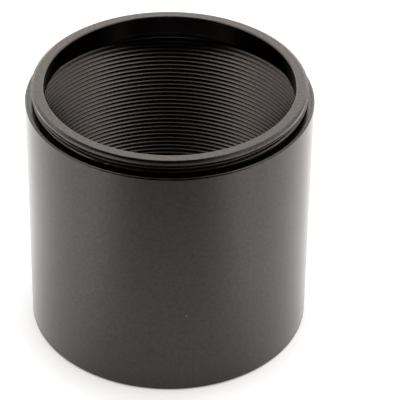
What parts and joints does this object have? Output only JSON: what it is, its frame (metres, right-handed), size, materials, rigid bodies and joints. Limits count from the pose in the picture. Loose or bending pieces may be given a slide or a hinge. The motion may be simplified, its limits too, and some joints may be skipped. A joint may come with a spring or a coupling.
{
  "type": "t-mount extension tube",
  "caption": "Short black tube that spaces a camera from a telescope or lens, with a male T2 thread on one end and a female T2 thread through the other.",
  "frame": {"origin": "centre of the barrel's base face, on the optical axis", "axes": "+Z along the optical axis, from the base face with the female thread to the end with the male thread; the part is round, so X and Y are free"},
  "size_m": [0.044, 0.044, 0.0423],
  "materials": {
    "anodised_barrel": "black anodised, satin, finely turned",
    "anodised_ring": "black anodised, satin, finely turned"
  },
  "bodies": {
    "root": {"barrel": "anodised_barrel", "male_thread_ring": "anodised_ring"}
  },
  "joints": []
}
